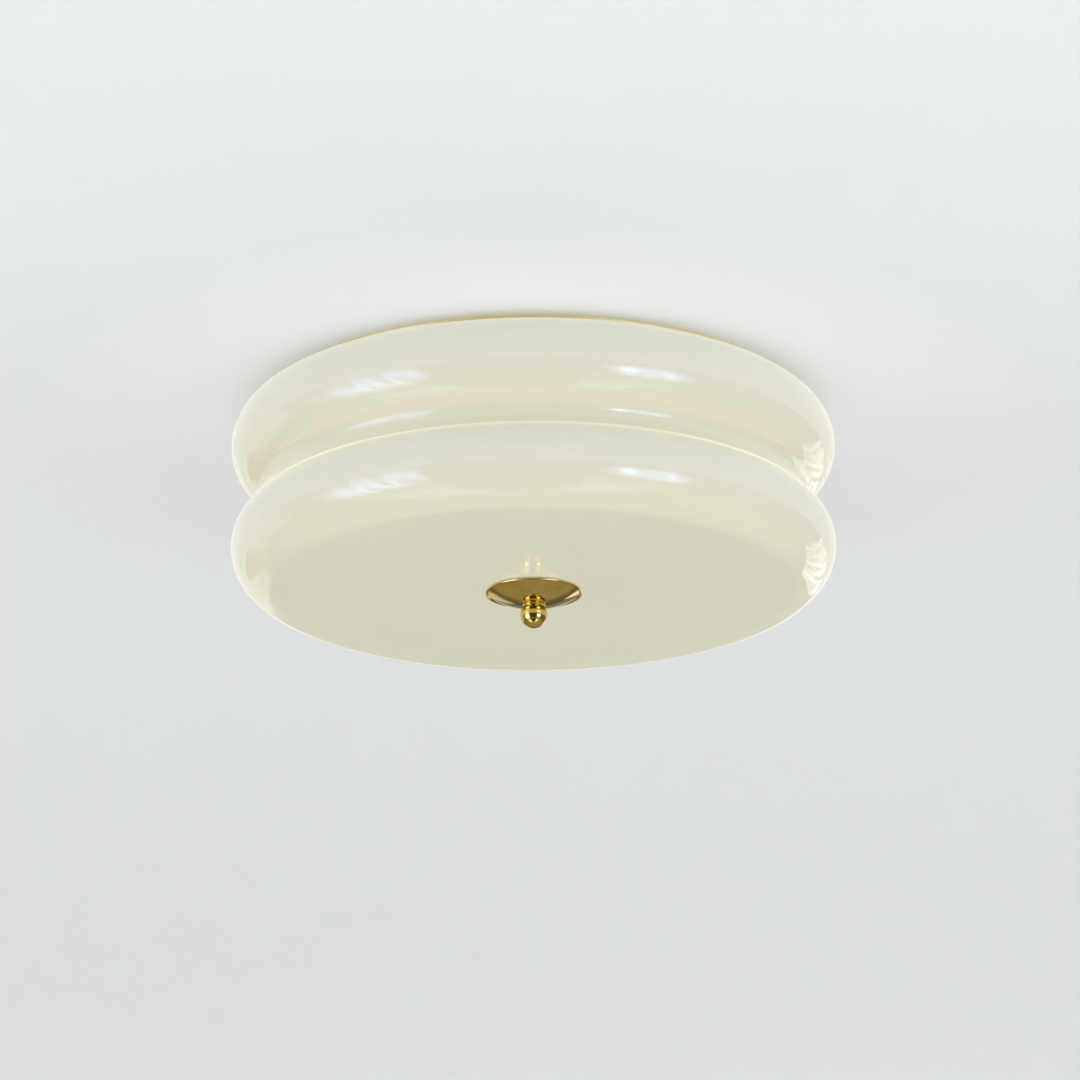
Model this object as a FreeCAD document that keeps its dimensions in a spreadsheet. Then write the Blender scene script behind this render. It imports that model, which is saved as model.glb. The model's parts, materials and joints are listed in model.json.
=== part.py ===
import FreeCAD, Part
import math
import os
import Sketcher

# Flush ceiling light with a two-tier opal glass shade, in millimetres.
# Z = 0 is the ceiling, +Z points up, and the light hangs below on the Z axis.

DRIVING_SIZES = [
    # glass shade
    ("shade_radius", 200.0),
    ("top_round", 31.0),
    ("tier_round", 29.0),
    ("tier_pitch", 69.5),
    ("groove_reach", 17.7),
    ("glass_wall", 3.5),
    ("mouth_land", 11.0),
    ("mouth_edge_round", 1.2),
    ("shade_hole_radius", 7.5),
    # ceiling pan and the ring that the glass seats on
    ("pan_flange", 14.0),
    ("pan_rim_height", 3.0),
    ("pan_sheet", 1.0),
    ("pan_bend", 2.0),
    ("pan_depth", 25.0),
    ("spigot_gap", 2.0),
    ("gasket_thick", 1.0),
    ("gasket_inset", 2.0),
    # crossbar
    ("strap_width", 22.0),
    ("strap_thick", 2.0),
    ("strap_joggle", 5.0),
    ("strap_slot_margin", 2.0),
    ("strap_head_room", 3.0),
    ("strap_end_margin", 10.0),
    ("strap_hole_radius", 5.5),
    ("slot_spacing", 60.0),
    ("slot_length", 12.0),
    ("slot_width", 5.0),
    # M4 screws and nuts
    ("screw_radius", 2.0),
    ("screw_head_radius", 4.0),
    ("screw_head_height", 2.6),
    ("screw_end_rise", 2.5),
    ("nut_across", 7.0),
    ("nut_height", 3.2),
    ("hole_gap", 0.2),
    ("thread_gap", 0.05),
    # hanging rod, M10 x 1, and its nuts
    ("rod_radius", 5.0),
    ("rod_bore_radius", 3.5),
    ("rod_rise", 2.0),
    ("rod_nut_across", 14.0),
    ("rod_nut_height", 4.0),
    ("lock_washer_radius", 9.0),
    ("lock_washer_thick", 1.0),
    # bush, cap and ball nut under the glass
    ("bush_gap", 0.3),
    ("bush_flange_radius", 13.0),
    ("bush_flange_thick", 1.5),
    ("cap_gasket_thick", 0.5),
    ("cap_gasket_width", 2.0),
    ("cap_gasket_inset", 1.0),
    ("cap_radius", 32.0),
    ("cap_rise", 10.0),
    ("cap_sheet", 1.2),
    ("cap_bead", 0.9),
    ("ball_radius", 9.1),
    ("ball_neck_radius", 7.45),
    ("ball_neck_height", 1.15),
    ("collar_radius", 7.6),
    ("collar_edge", 0.4),
    ("nut_engagement", 8.0),
    ("nut_bore_spare", 1.0),
    # lampholders on their brackets
    ("lamp_axis_depth", 60.0),
    ("bracket_reach", 22.0),
    ("bracket_foot", 24.0),
    ("bracket_width", 26.0),
    ("bracket_sheet", 1.5),
    ("bracket_bend", 3.0),
    ("bracket_end_margin", 4.0),
    ("bracket_screw_offset", 16.0),
    ("wire_hole_radius", 3.5),
    ("holder_radius", 19.0),
    ("holder_chamfer", 1.0),
    ("holder_floor", 10.5),
    ("holder_wall", 5.0),
    ("holder_rim_step", 1.5),
    ("holder_rim_length", 14.0),
    ("holder_screw_offset", 12.0),
    ("holder_screw_radius", 1.5),
    ("holder_screw_head", 2.8),
    ("holder_screw_depth", 6.0),
    ("shell_wall", 0.5),
    ("shell_inset", 1.5),
    ("shell_length", 24.0),
    ("tongue_length", 16.0),
    ("tongue_width", 5.0),
    ("tongue_thick", 0.6),
    ("tongue_rise", 3.5),
    # bulbs
    ("cap_screw_radius", 13.1),
    ("cap_screw_wall", 0.5),
    ("cap_screw_length", 25.0),
    ("cap_screw_groove", 0.6),
    ("bulb_fit_gap", 0.1),
    ("bulb_tip_radius", 4.0),
    ("bulb_tip_length", 3.0),
    ("bulb_tip_wall", 0.8),
    ("bulb_cap_floor", 1.0),
    ("bulb_body_length", 20.0),
    ("bulb_body_radius", 21.0),
    ("bulb_body_wall", 1.5),
    ("bulb_spigot_length", 14.0),
    ("bulb_shoulder_step", 0.5),
    ("bulb_globe_bulge", 1.5),
    ("bulb_globe_wall", 1.2),
    ("bulb_seat_gap", 0.3),
    ("led_board_thick", 1.6),
    ("led_board_sink", 1.0),
    # terminal block, earth point and grommet on the pan
    ("block_place", 52.0),
    ("block_width", 18.0),
    ("block_height", 14.0),
    ("pole_wall", 0.5),
    ("sleeve_radius", 2.2),
    ("sleeve_bore_radius", 1.4),
    ("sleeve_inset", 1.5),
    ("clamp_screw_radius", 1.2),
    ("clamp_screw_pitch", 9.0),
    ("clamp_screw_sink", 2.0),
    ("block_screw_radius", 1.4),
    ("block_screw_head", 2.3),
    ("block_screw_sink", 6.0),
    ("earth_place_along", 28.0),
    ("earth_place_back", 53.0),
    ("lug_radius", 4.2),
    ("lug_thick", 0.8),
    ("lug_reach", 9.0),
    ("lug_barrel_radius", 1.8),
    ("lug_barrel_length", 5.0),
    ("earth_wire_radius", 1.1),
    ("grommet_clearance", 2.4),
    ("grommet_bore_radius", 5.4),
    ("grommet_wall", 1.5),
    ("grommet_flange", 1.7),
    ("grommet_flange_thick", 1.5),
    ("lead_radius", 1.6),
    ("lead_gap", 0.4),
]

LAMP_ANGLES = (-90.0, 30.0, 150.0)
HALF_OF_45_SLOPE = 0.41421

doc = FreeCAD.newDocument("ceiling_light")
sheet = doc.addObject("Spreadsheet::Sheet", "sizes")
for row, (alias, number) in enumerate(DRIVING_SIZES, start=1):
    sheet.set(f"A{row}", alias)
    sheet.set(f"B{row}", str(number))
    sheet.setAlias(f"B{row}", alias)
doc.recompute()


class Size:
    """A length as a number, with the expression that gives it from the sheet."""

    def __init__(self, number, text):
        self.number = number
        self.text = text

    def __add__(self, other):
        other = as_size(other)
        return Size(self.number + other.number, f"({self.text} + {other.text})")

    def __sub__(self, other):
        other = as_size(other)
        return Size(self.number - other.number, f"({self.text} - {other.text})")

    def __mul__(self, other):
        other = as_size(other)
        return Size(self.number * other.number, f"({self.text} * {other.text})")

    def __truediv__(self, other):
        other = as_size(other)
        return Size(self.number / other.number, f"({self.text} / {other.text})")

    def __neg__(self):
        return Size(-self.number, f"(0 - {self.text})")


def as_size(value):
    """Turn a plain number into a Size."""
    if isinstance(value, Size):
        return value
    return Size(float(value), repr(float(value)))


def root(value):
    """Square root of a Size."""
    return Size(math.sqrt(value.number), f"sqrt({value.text})")


def size(alias):
    """A driving size, read from the sheet."""
    return Size(float(sheet.get(alias)), f"sizes.{alias}")


S = {alias: size(alias) for alias, number in DRIVING_SIZES}
nodes = []


def add_node(thing, label):
    """Register an object as a sub-part under its own label."""
    thing.Label = label
    nodes.append(thing)
    return thing


def new_body(name):
    """A new body, one solid or several alike."""
    return doc.addObject("PartDesign::Body", name)


def new_sketch(body, role, offset=None):
    """A sketch on one of the body's origin planes, shifted along the plane's normal."""
    sketch = body.newObject("Sketcher::SketchObject", body.Name + "_sketch")
    origin_plane = [item for item in body.Origin.OriginFeatures if item.Role == role][0]
    sketch.AttachmentSupport = [(origin_plane, "")]
    sketch.MapMode = "FlatFace"
    if offset is not None:
        sketch.AttachmentOffset = FreeCAD.Placement(
            FreeCAD.Vector(0, 0, offset.number), FreeCAD.Rotation())
        sketch.setExpression("AttachmentOffset.Base.z", offset.text)
    return sketch


def bind(sketch, constraint, value):
    """Add a constraint whose value comes from the sheet."""
    index = sketch.addConstraint(constraint)
    sketch.setExpression(f"Constraints[{index}]", value.text)


def pin_point(sketch, geometry, end, x, y):
    """Fix a point of a sketch at (x, y)."""
    x, y = as_size(x), as_size(y)
    if x.number == 0:
        sketch.addConstraint(Sketcher.Constraint("PointOnObject", geometry, end, -2))
    else:
        bind(sketch, Sketcher.Constraint("DistanceX", geometry, end, x.number), x)
    if y.number == 0:
        sketch.addConstraint(Sketcher.Constraint("PointOnObject", geometry, end, -1))
    else:
        bind(sketch, Sketcher.Constraint("DistanceY", geometry, end, y.number), y)


def arc_between(start, end, radius, centre_left):
    """Arc of under a half circle from start to end, its centre left or right of the way."""
    middle = (start + end) * 0.5
    chord = end - start
    left = FreeCAD.Vector(-chord.y, chord.x, 0).normalize()
    height = math.sqrt(max(radius ** 2 - (chord.Length / 2) ** 2, 0.0))
    side = 1.0 if centre_left else -1.0
    centre = middle + left * (height * side)
    first, last = (start, end) if centre_left else (end, start)
    angles = [math.atan2(p.y - centre.y, p.x - centre.x) for p in (first, last)]
    circle = Part.Circle(centre, FreeCAD.Vector(0, 0, 1), radius)
    return Part.ArcOfCircle(circle, angles[0], angles[1])


def draw_outline(sketch, corners, arcs=None):
    """Closed outline through corners; arcs maps a corner's index to (radius, centre_left)."""
    arcs = arcs or {}
    corners = [(as_size(x), as_size(y)) for x, y in corners]
    points = [FreeCAD.Vector(x.number, y.number, 0) for x, y in corners]
    count = len(points)
    starts, ends, indexes = [], [], []
    for i in range(count):
        start, end = points[i], points[(i + 1) % count]
        if i in arcs:
            radius, centre_left = arcs[i]
            indexes.append(sketch.addGeometry(arc_between(start, end, radius.number, centre_left)))
            starts.append(1 if centre_left else 2)
            ends.append(2 if centre_left else 1)
        else:
            indexes.append(sketch.addGeometry(Part.LineSegment(start, end)))
            starts.append(1)
            ends.append(2)
    for i in range(count):
        following = (i + 1) % count
        sketch.addConstraint(Sketcher.Constraint(
            "Coincident", indexes[i], ends[i], indexes[following], starts[following]))
    for i in range(count):
        pin_point(sketch, indexes[i], starts[i], *corners[i])
        if i in arcs:
            radius = arcs[i][0]
            bind(sketch, Sketcher.Constraint("Radius", indexes[i], radius.number), radius)


def draw_circle(sketch, x, y, radius):
    """A circle at (x, y)."""
    x, y = as_size(x), as_size(y)
    centre = FreeCAD.Vector(x.number, y.number, 0)
    index = sketch.addGeometry(Part.Circle(centre, FreeCAD.Vector(0, 0, 1), radius.number))
    pin_point(sketch, index, 3, x, y)
    bind(sketch, Sketcher.Constraint("Radius", index, radius.number), radius)


def draw_slot(sketch, x, length, width):
    """A slot with round ends along the sketch's X axis, centred at (x, 0)."""
    half = (length - width) / 2
    radius = width / 2
    up = FreeCAD.Vector(0, radius.number, 0)
    normal = FreeCAD.Vector(0, 0, 1)
    left = FreeCAD.Vector((x - half).number, 0, 0)
    right = FreeCAD.Vector((x + half).number, 0, 0)
    quarter = math.pi / 2
    left_arc = Part.ArcOfCircle(Part.Circle(left, normal, radius.number), quarter, 3 * quarter)
    right_arc = Part.ArcOfCircle(Part.Circle(right, normal, radius.number), -quarter, quarter)
    a = sketch.addGeometry(left_arc)
    b = sketch.addGeometry(Part.LineSegment(left - up, right - up))
    c = sketch.addGeometry(right_arc)
    d = sketch.addGeometry(Part.LineSegment(right + up, left + up))
    for first, first_end, second, second_end in ((a, 2, b, 1), (b, 2, c, 1), (c, 2, d, 1), (d, 2, a, 1)):
        sketch.addConstraint(Sketcher.Constraint("Coincident", first, first_end, second, second_end))
    for arc, place in ((a, x - half), (c, x + half)):
        pin_point(sketch, arc, 3, place, 0)
        bind(sketch, Sketcher.Constraint("Radius", arc, radius.number), radius)
        for end in (1, 2):
            sketch.addConstraint(Sketcher.Constraint("Vertical", arc, 3, arc, end))


def revolve(body, corners, arcs=None):
    """Turn an outline of (radius, height) corners about the body's Z axis."""
    sketch = new_sketch(body, "XZ_Plane")
    draw_outline(sketch, corners, arcs)
    feature = body.newObject("PartDesign::Revolution", body.Name + "_turned")
    feature.Profile = sketch
    feature.ReferenceAxis = (sketch, ["V_Axis"])
    feature.Angle = 360.0
    body.Tip = feature
    return body


def ring(body, inner, outer, low, high):
    """A plain ring or sleeve about the Z axis."""
    return revolve(body, [(inner, low), (outer, low), (outer, high), (inner, high)])


def pad(body, sketch, length, name="pad"):
    """Pad a sketch along its normal."""
    feature = body.newObject("PartDesign::Pad", f"{body.Name}_{name}")
    feature.Profile = sketch
    feature.Length = length.number
    feature.setExpression("Length", length.text)
    body.Tip = feature
    return body


def pocket(body, sketch, length, name, along_normal=False):
    """Cut a sketch against its normal, or along it, and see that it takes material away."""
    doc.recompute()
    before = body.Shape.Volume
    feature = body.newObject("PartDesign::Pocket", f"{body.Name}_{name}")
    feature.Profile = sketch
    feature.Length = length.number
    feature.setExpression("Length", length.text)
    feature.Reversed = along_normal
    body.Tip = feature
    doc.recompute()
    if body.Shape.Volume > before - 0.01:
        raise RuntimeError(f"{feature.Name} cuts nothing")
    return body


def bundle(label, bodies):
    """Several like solids as one node."""
    group = doc.addObject("Part::Compound", label)
    group.Links = bodies
    return add_node(group, label)


def lift(thing, x=None, y=None, z=None):
    """Place an object at (x, y, z), each a size or nothing."""
    places = {"x": x, "y": y, "z": z}
    given = {axis: as_size(value) for axis, value in places.items() if value is not None}
    numbers = [given[axis].number if axis in given else 0.0 for axis in "xyz"]
    thing.Placement = FreeCAD.Placement(FreeCAD.Vector(*numbers), thing.Placement.Rotation)
    for axis, value in given.items():
        thing.setExpression(f"Placement.Base.{axis}", value.text)
    return thing


def point_outward(thing, angle):
    """Turn an object's Z axis outward along a lamp's axis."""
    about_z = FreeCAD.Rotation(FreeCAD.Vector(0, 0, 1), angle)
    about_y = FreeCAD.Rotation(FreeCAD.Vector(0, 1, 0), 90.0)
    thing.Placement = FreeCAD.Placement(FreeCAD.Vector(0, 0, 0), about_z.multiply(about_y))
    return lift(thing, z=-S["lamp_axis_depth"])


def hexagon(body, across, height, hole_radius):
    """A hexagon nut standing on Z = 0."""
    sketch = new_sketch(body, "XY_Plane")
    half = across / 2
    corner = half / root(as_size(3.0))
    corners = [(corner * 2, 0), (corner, half), (-corner, half),
               (-corner * 2, 0), (-corner, -half), (corner, -half)]
    draw_outline(sketch, corners)
    draw_circle(sketch, 0, 0, hole_radius)
    return pad(body, sketch, height)


def screw(body, radius, head_radius, head_height, length):
    """A screw with its head above Z = 0 and its shank below."""
    crown = head_height / 3
    corners = [(0, -length), (radius, -length), (radius, 0), (head_radius, 0),
               (head_radius, head_height - crown), (head_radius - crown, head_height), (0, head_height)]
    return revolve(body, corners)


# sizes that follow others by a named margin
top_centre = S["shade_radius"] - S["top_round"]
tier_centre = S["shade_radius"] - S["tier_round"]
mouth_radius = top_centre - S["mouth_land"]
spigot_radius = mouth_radius - S["spigot_gap"]
pan_radius = spigot_radius + S["pan_flange"]
half_pitch = S["tier_pitch"] / 2
groove_distance = root(half_pitch * half_pitch + S["groove_reach"] * S["groove_reach"])
groove_round = groove_distance - S["tier_round"]
strap_middle = S["slot_spacing"] / 2 + S["slot_length"] / 2 + S["strap_slot_margin"]
pan_screw_place = strap_middle + S["strap_joggle"] + S["screw_head_radius"] + S["strap_head_room"]
strap_end = pan_screw_place + S["strap_end_margin"]
pole_pitch = (S["sleeve_radius"] + S["block_screw_head"] + S["pole_wall"]) * 2
block_length = pole_pitch * 3
sleeve_length = S["block_width"] - S["sleeve_inset"] * 2
grommet_hub = S["grommet_bore_radius"] + S["grommet_wall"]
grommet_rim = grommet_hub + S["grommet_flange"]
grommet_place = S["lock_washer_radius"] + grommet_rim + S["grommet_clearance"]
bulb_globe_radius = S["bulb_body_radius"] + S["bulb_globe_bulge"]

# levels below the ceiling, as positive depths
glass_top = S["pan_rim_height"] + S["gasket_thick"]
upper_tier = glass_top + S["top_round"]
lower_tier = upper_tier + S["tier_pitch"]
glass_bottom = lower_tier + S["tier_round"]
glass_floor = glass_bottom - S["glass_wall"]
pan_floor_top = S["pan_depth"] - S["pan_sheet"]
cap_rim = glass_bottom + S["cap_gasket_thick"]
cap_sphere = (S["cap_radius"] * S["cap_radius"] + S["cap_rise"] * S["cap_rise"]) / (S["cap_rise"] * 2)
cap_seat_radius = S["collar_radius"] + S["hole_gap"]
cap_centre = cap_rim + S["cap_rise"] - cap_sphere
cap_seat = cap_centre + root(cap_sphere * cap_sphere - cap_seat_radius * cap_seat_radius)
rod_hole_radius = S["rod_radius"] + S["hole_gap"]
rod_top = pan_floor_top - S["rod_nut_height"] - S["rod_rise"]
rod_bottom = cap_seat + S["nut_engagement"]
screw_hole_radius = S["screw_radius"] + S["hole_gap"]

# places along a lamp's axis, measured outward from the hanging rod
holder_back = S["bracket_reach"] + S["bracket_sheet"]
holder_floor_level = holder_back + S["holder_floor"]
bulb_tip = holder_floor_level + S["tongue_rise"] + S["bulb_seat_gap"]
bulb_cap_back = bulb_tip + S["bulb_tip_length"]
bulb_shoulder = bulb_cap_back + S["cap_screw_length"]
holder_front = bulb_shoulder - S["bulb_seat_gap"]
shell_back = holder_front - S["shell_inset"] - S["shell_length"]
shell_inner_radius = S["cap_screw_radius"] + S["bulb_fit_gap"]
shell_outer_radius = shell_inner_radius + S["shell_wall"]
bulb_body_end = bulb_shoulder + S["bulb_body_length"]
led_ledge = bulb_body_end - S["led_board_thick"] - S["led_board_sink"]
lamp_foot_hole = S["bracket_reach"] + S["bracket_screw_offset"]


def make_glass_shade():
    """One blown glass body with two round tiers, a groove between them and a flat floor."""
    wall = S["glass_wall"]
    tier = S["tier_round"]
    top = S["top_round"]
    edge = S["mouth_edge_round"]
    outer = S["shade_radius"]
    mouth = mouth_radius
    hole = S["shade_hole_radius"]

    def groove_point(radius, level, towards):
        share = radius / groove_distance
        return tier_centre + S["groove_reach"] * share, -(level + half_pitch * share * towards)

    corners = [
        (mouth + edge, -glass_top),
        (top_centre, -glass_top),
        (outer, -upper_tier),
        groove_point(tier, upper_tier, 1),
        groove_point(tier, lower_tier, -1),
        (outer, -lower_tier),
        (tier_centre, -glass_bottom),
        (hole, -glass_bottom),
        (hole, -glass_floor),
        (tier_centre, -glass_floor),
        (outer - wall, -lower_tier),
        groove_point(tier - wall, lower_tier, -1),
        groove_point(tier - wall, upper_tier, 1),
        (outer - wall, -upper_tier),
        (top_centre, -(glass_top + wall)),
        (mouth + edge, -(glass_top + wall)),
        (mouth, -(glass_top + wall - edge)),
        (mouth, -(glass_top + edge)),
    ]
    arcs = {
        1: (top, False),
        2: (tier, False),
        3: (groove_round, True),
        4: (tier, False),
        5: (tier, False),
        9: (tier - wall, True),
        10: (tier - wall, True),
        11: (groove_round + wall, False),
        12: (tier - wall, True),
        13: (top - wall, True),
        15: (edge, False),
        17: (edge, False),
    }
    add_node(revolve(new_body("glass_shade"), corners, arcs), "glass_shade")


def make_ceiling_pan():
    """Spun steel pan: rim against the ceiling, flange, spigot inside the glass and wiring cup."""
    sheet_thick = S["pan_sheet"]
    bend = S["pan_bend"]
    outer = pan_radius
    rim = S["pan_rim_height"]
    depth = S["pan_depth"]
    inner_bend = bend - sheet_thick
    corners = [
        (outer - sheet_thick, 0),
        (outer - sheet_thick, -(rim - bend)),
        (outer - bend, -(rim - sheet_thick)),
        (spigot_radius - sheet_thick, -(rim - sheet_thick)),
        (spigot_radius - sheet_thick, -(depth - bend)),
        (spigot_radius - bend, -pan_floor_top),
        (rod_hole_radius, -pan_floor_top),
        (rod_hole_radius, -depth),
        (spigot_radius - bend, -depth),
        (spigot_radius, -(depth - bend)),
        (spigot_radius, -rim),
        (outer - bend, -rim),
        (outer, -(rim - bend)),
        (outer, 0),
    ]
    arcs = {
        1: (inner_bend, False),
        4: (inner_bend, False),
        8: (bend, True),
        11: (bend, True),
    }
    body = revolve(new_body("ceiling_pan"), corners, arcs)
    holes = new_sketch(body, "XY_Plane", -pan_floor_top)
    for side in (-1, 1):
        draw_circle(holes, pan_screw_place * side, 0, screw_hole_radius)
        draw_circle(holes, pole_pitch / 2 * side, S["block_place"],
                    S["block_screw_radius"] + S["thread_gap"])
    for angle in LAMP_ANGLES:
        draw_circle(holes, lamp_foot_hole * math.cos(math.radians(angle)),
                    lamp_foot_hole * math.sin(math.radians(angle)), screw_hole_radius)
    draw_circle(holes, S["earth_place_along"], S["earth_place_back"],
                S["screw_radius"] + S["thread_gap"])
    draw_circle(holes, 0, grommet_place, grommet_hub)
    pocket(body, holes, sheet_thick * 2, "holes")
    add_node(body, "ceiling_pan")


def make_pan_gasket():
    """Soft ring between the pan's flange and the mouth of the glass."""
    inner = mouth_radius + S["mouth_edge_round"] + S["gasket_inset"] / 2
    outer = top_centre - S["gasket_inset"]
    add_node(ring(new_body("pan_gasket"), inner, outer, -glass_top, -S["pan_rim_height"]), "pan_gasket")


def make_crossbar():
    """Steel strap, its middle on the ceiling and its ends set down to clear the screw heads."""
    thick = S["strap_thick"]
    drop = S["strap_joggle"]
    middle = strap_middle
    end = strap_end
    shift = thick * HALF_OF_45_SLOPE
    right = [(middle, 0), (middle + drop, -drop), (end, -drop), (end, -(drop + thick)),
             (middle + drop - shift, -(drop + thick)), (middle - shift, -thick)]
    left = [(-x, z) for x, z in reversed(right)]
    body = new_body("crossbar")
    profile = new_sketch(body, "XZ_Plane", -S["strap_width"] / 2)
    draw_outline(profile, right + left)
    pad(body, profile, S["strap_width"])
    slots = new_sketch(body, "XY_Plane", as_size(1.0))
    for side in (-1, 1):
        draw_slot(slots, S["slot_spacing"] / 2 * side, S["slot_length"], S["slot_width"])
    draw_circle(slots, 0, 0, S["strap_hole_radius"])
    for side in (-1, 1):
        draw_circle(slots, pan_screw_place * side, 0, screw_hole_radius)
    pocket(body, slots, drop + thick * 2, "slots")
    add_node(body, "crossbar")


def make_crossbar_screws():
    """Two screws that hang from the crossbar and carry the pan on their nuts."""
    head_level = S["strap_joggle"]
    length = S["pan_depth"] + S["nut_height"] + S["screw_end_rise"] - head_level
    screws, nuts = [], []
    for number, side in enumerate((-1, 1), start=1):
        place = pan_screw_place * side
        one = screw(new_body(f"crossbar_screw_{number}"), S["screw_radius"], S["screw_head_radius"],
                    S["screw_head_height"], length)
        screws.append(lift(one, x=place, z=-head_level))
        nut = hexagon(new_body(f"pan_nut_{number}"), S["nut_across"], S["nut_height"],
                      S["screw_radius"] + S["thread_gap"])
        nuts.append(lift(nut, x=place, z=-(S["pan_depth"] + S["nut_height"])))
    bundle("crossbar_screws", screws)
    bundle("pan_nuts", nuts)


def make_hanging_rod():
    """Threaded tube through the light, with the nuts and washer that clamp it to the pan."""
    rod = ring(new_body("hanging_rod"), S["rod_bore_radius"], S["rod_radius"], -rod_bottom, -rod_top)
    add_node(rod, "hanging_rod")
    thread_hole = S["rod_radius"] + S["thread_gap"]
    upper = hexagon(new_body("rod_nut_upper"), S["rod_nut_across"], S["rod_nut_height"], thread_hole)
    add_node(lift(upper, z=-pan_floor_top), "rod_nut_upper")
    washer_low = S["pan_depth"] + S["lock_washer_thick"]
    washer = ring(new_body("rod_lock_washer"), rod_hole_radius, S["lock_washer_radius"],
                  -washer_low, -S["pan_depth"])
    add_node(washer, "rod_lock_washer")
    lower = hexagon(new_body("rod_nut_lower"), S["rod_nut_across"], S["rod_nut_height"], thread_hole)
    add_node(lift(lower, z=-(washer_low + S["rod_nut_height"])), "rod_nut_lower")


def make_shade_bush():
    """Silicone bush that keeps the rod off the edge of the hole in the glass."""
    bore = S["rod_radius"] + S["bush_gap"]
    hub = S["shade_hole_radius"] - S["hole_gap"]
    flange = S["bush_flange_radius"]
    top = glass_floor - S["bush_flange_thick"]
    corners = [(bore, -glass_bottom), (hub, -glass_bottom), (hub, -glass_floor),
               (flange, -glass_floor), (flange, -top), (bore, -top)]
    add_node(revolve(new_body("shade_bush"), corners), "shade_bush")


def make_cap_gasket():
    """Thin silicone ring between the glass and the rim of the cap."""
    outer = S["cap_radius"] - S["cap_gasket_inset"]
    body = ring(new_body("cap_gasket"), outer - S["cap_gasket_width"], outer, -cap_rim, -glass_bottom)
    add_node(body, "cap_gasket")


def make_finial_cap():
    """Shallow spherical brass cap with a rolled bead on its rim and a small flat for the ball nut."""
    bead = S["cap_bead"]
    bead_centre = S["cap_radius"] - bead
    bead_level = cap_rim + bead
    bead_drop = bead_level - cap_centre
    away = root(bead_centre * bead_centre + bead_drop * bead_drop)
    along = (cap_sphere * cap_sphere + away * away - bead * bead) / (away * 2)
    across = root(cap_sphere * cap_sphere - along * along)
    crease = (along * bead_centre - across * bead_drop) / away
    crease_level = cap_centre + (along * bead_drop + across * bead_centre) / away
    inner_sphere = cap_sphere - S["cap_sheet"]
    rim_inner = root(inner_sphere * inner_sphere - (cap_rim - cap_centre) * (cap_rim - cap_centre))
    seat_inner = cap_seat - S["cap_sheet"]
    flat_inner = root(inner_sphere * inner_sphere - (seat_inner - cap_centre) * (seat_inner - cap_centre))
    corners = [
        (rod_hole_radius, -seat_inner),
        (rod_hole_radius, -cap_seat),
        (cap_seat_radius, -cap_seat),
        (crease, -crease_level),
        (S["cap_radius"], -bead_level),
        (bead_centre, -cap_rim),
        (rim_inner, -cap_rim),
        (flat_inner, -seat_inner),
    ]
    arcs = {2: (cap_sphere, True), 3: (bead, True), 4: (bead, True), 6: (inner_sphere, False)}
    add_node(revolve(new_body("finial_cap"), corners, arcs), "finial_cap")


def make_finial_nut():
    """Turned brass ball nut on a short neck, with a blind threaded bore."""
    neck = S["ball_neck_radius"]
    collar = S["collar_radius"]
    neck_end = cap_seat + S["ball_neck_height"]
    ball = S["ball_radius"]
    ball_centre = neck_end + root(ball * ball - neck * neck)
    bore = S["rod_radius"] + S["thread_gap"]
    bore_end = rod_bottom + S["nut_bore_spare"]
    corners = [
        (bore, -cap_seat),
        (collar, -cap_seat),
        (collar, -(cap_seat + S["collar_edge"])),
        (neck, -neck_end),
        (ball, -ball_centre),
        (0, -(ball_centre + ball)),
        (0, -bore_end),
        (bore, -bore_end),
    ]
    arcs = {3: (ball, False), 4: (ball, False)}
    add_node(revolve(new_body("finial_nut"), corners, arcs), "finial_nut")


def make_lamp_bracket(number, angle):
    """Sheet angle: foot under the pan, leg down to carry a lampholder."""
    reach = S["bracket_reach"]
    thick = S["bracket_sheet"]
    bend = S["bracket_bend"]
    half = S["bracket_width"] / 2
    top = S["pan_depth"]
    tip = reach + S["bracket_foot"]
    low = S["lamp_axis_depth"] + S["holder_screw_offset"] + S["bracket_end_margin"]
    corners = [
        (reach, -low),
        (reach + thick, -low),
        (reach + thick, -(top + bend)),
        (reach + bend, -(top + thick)),
        (tip, -(top + thick)),
        (tip, -top),
        (reach + bend, -top),
        (reach, -(top + bend)),
    ]
    arcs = {2: (bend - thick, False), 6: (bend, True)}
    body = new_body(f"lamp_bracket_{number}")
    profile = new_sketch(body, "XZ_Plane", -half)
    draw_outline(profile, corners, arcs)
    pad(body, profile, S["bracket_width"])
    foot_hole = new_sketch(body, "XY_Plane", -(top - thick))
    draw_circle(foot_hole, lamp_foot_hole, 0, screw_hole_radius)
    pocket(body, foot_hole, thick * 3, "foot_hole")
    leg_holes = new_sketch(body, "YZ_Plane", reach + thick * 2)
    draw_circle(leg_holes, 0, -S["lamp_axis_depth"], S["wire_hole_radius"])
    for side in (-1, 1):
        draw_circle(leg_holes, 0, -(S["lamp_axis_depth"] + S["holder_screw_offset"] * side),
                    S["holder_screw_radius"] + S["hole_gap"])
    pocket(body, leg_holes, thick * 3, "leg_holes")
    body.Placement = FreeCAD.Placement(
        FreeCAD.Vector(0, 0, 0), FreeCAD.Rotation(FreeCAD.Vector(0, 0, 1), angle))
    add_node(body, f"lamp_bracket_{number}")


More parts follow.
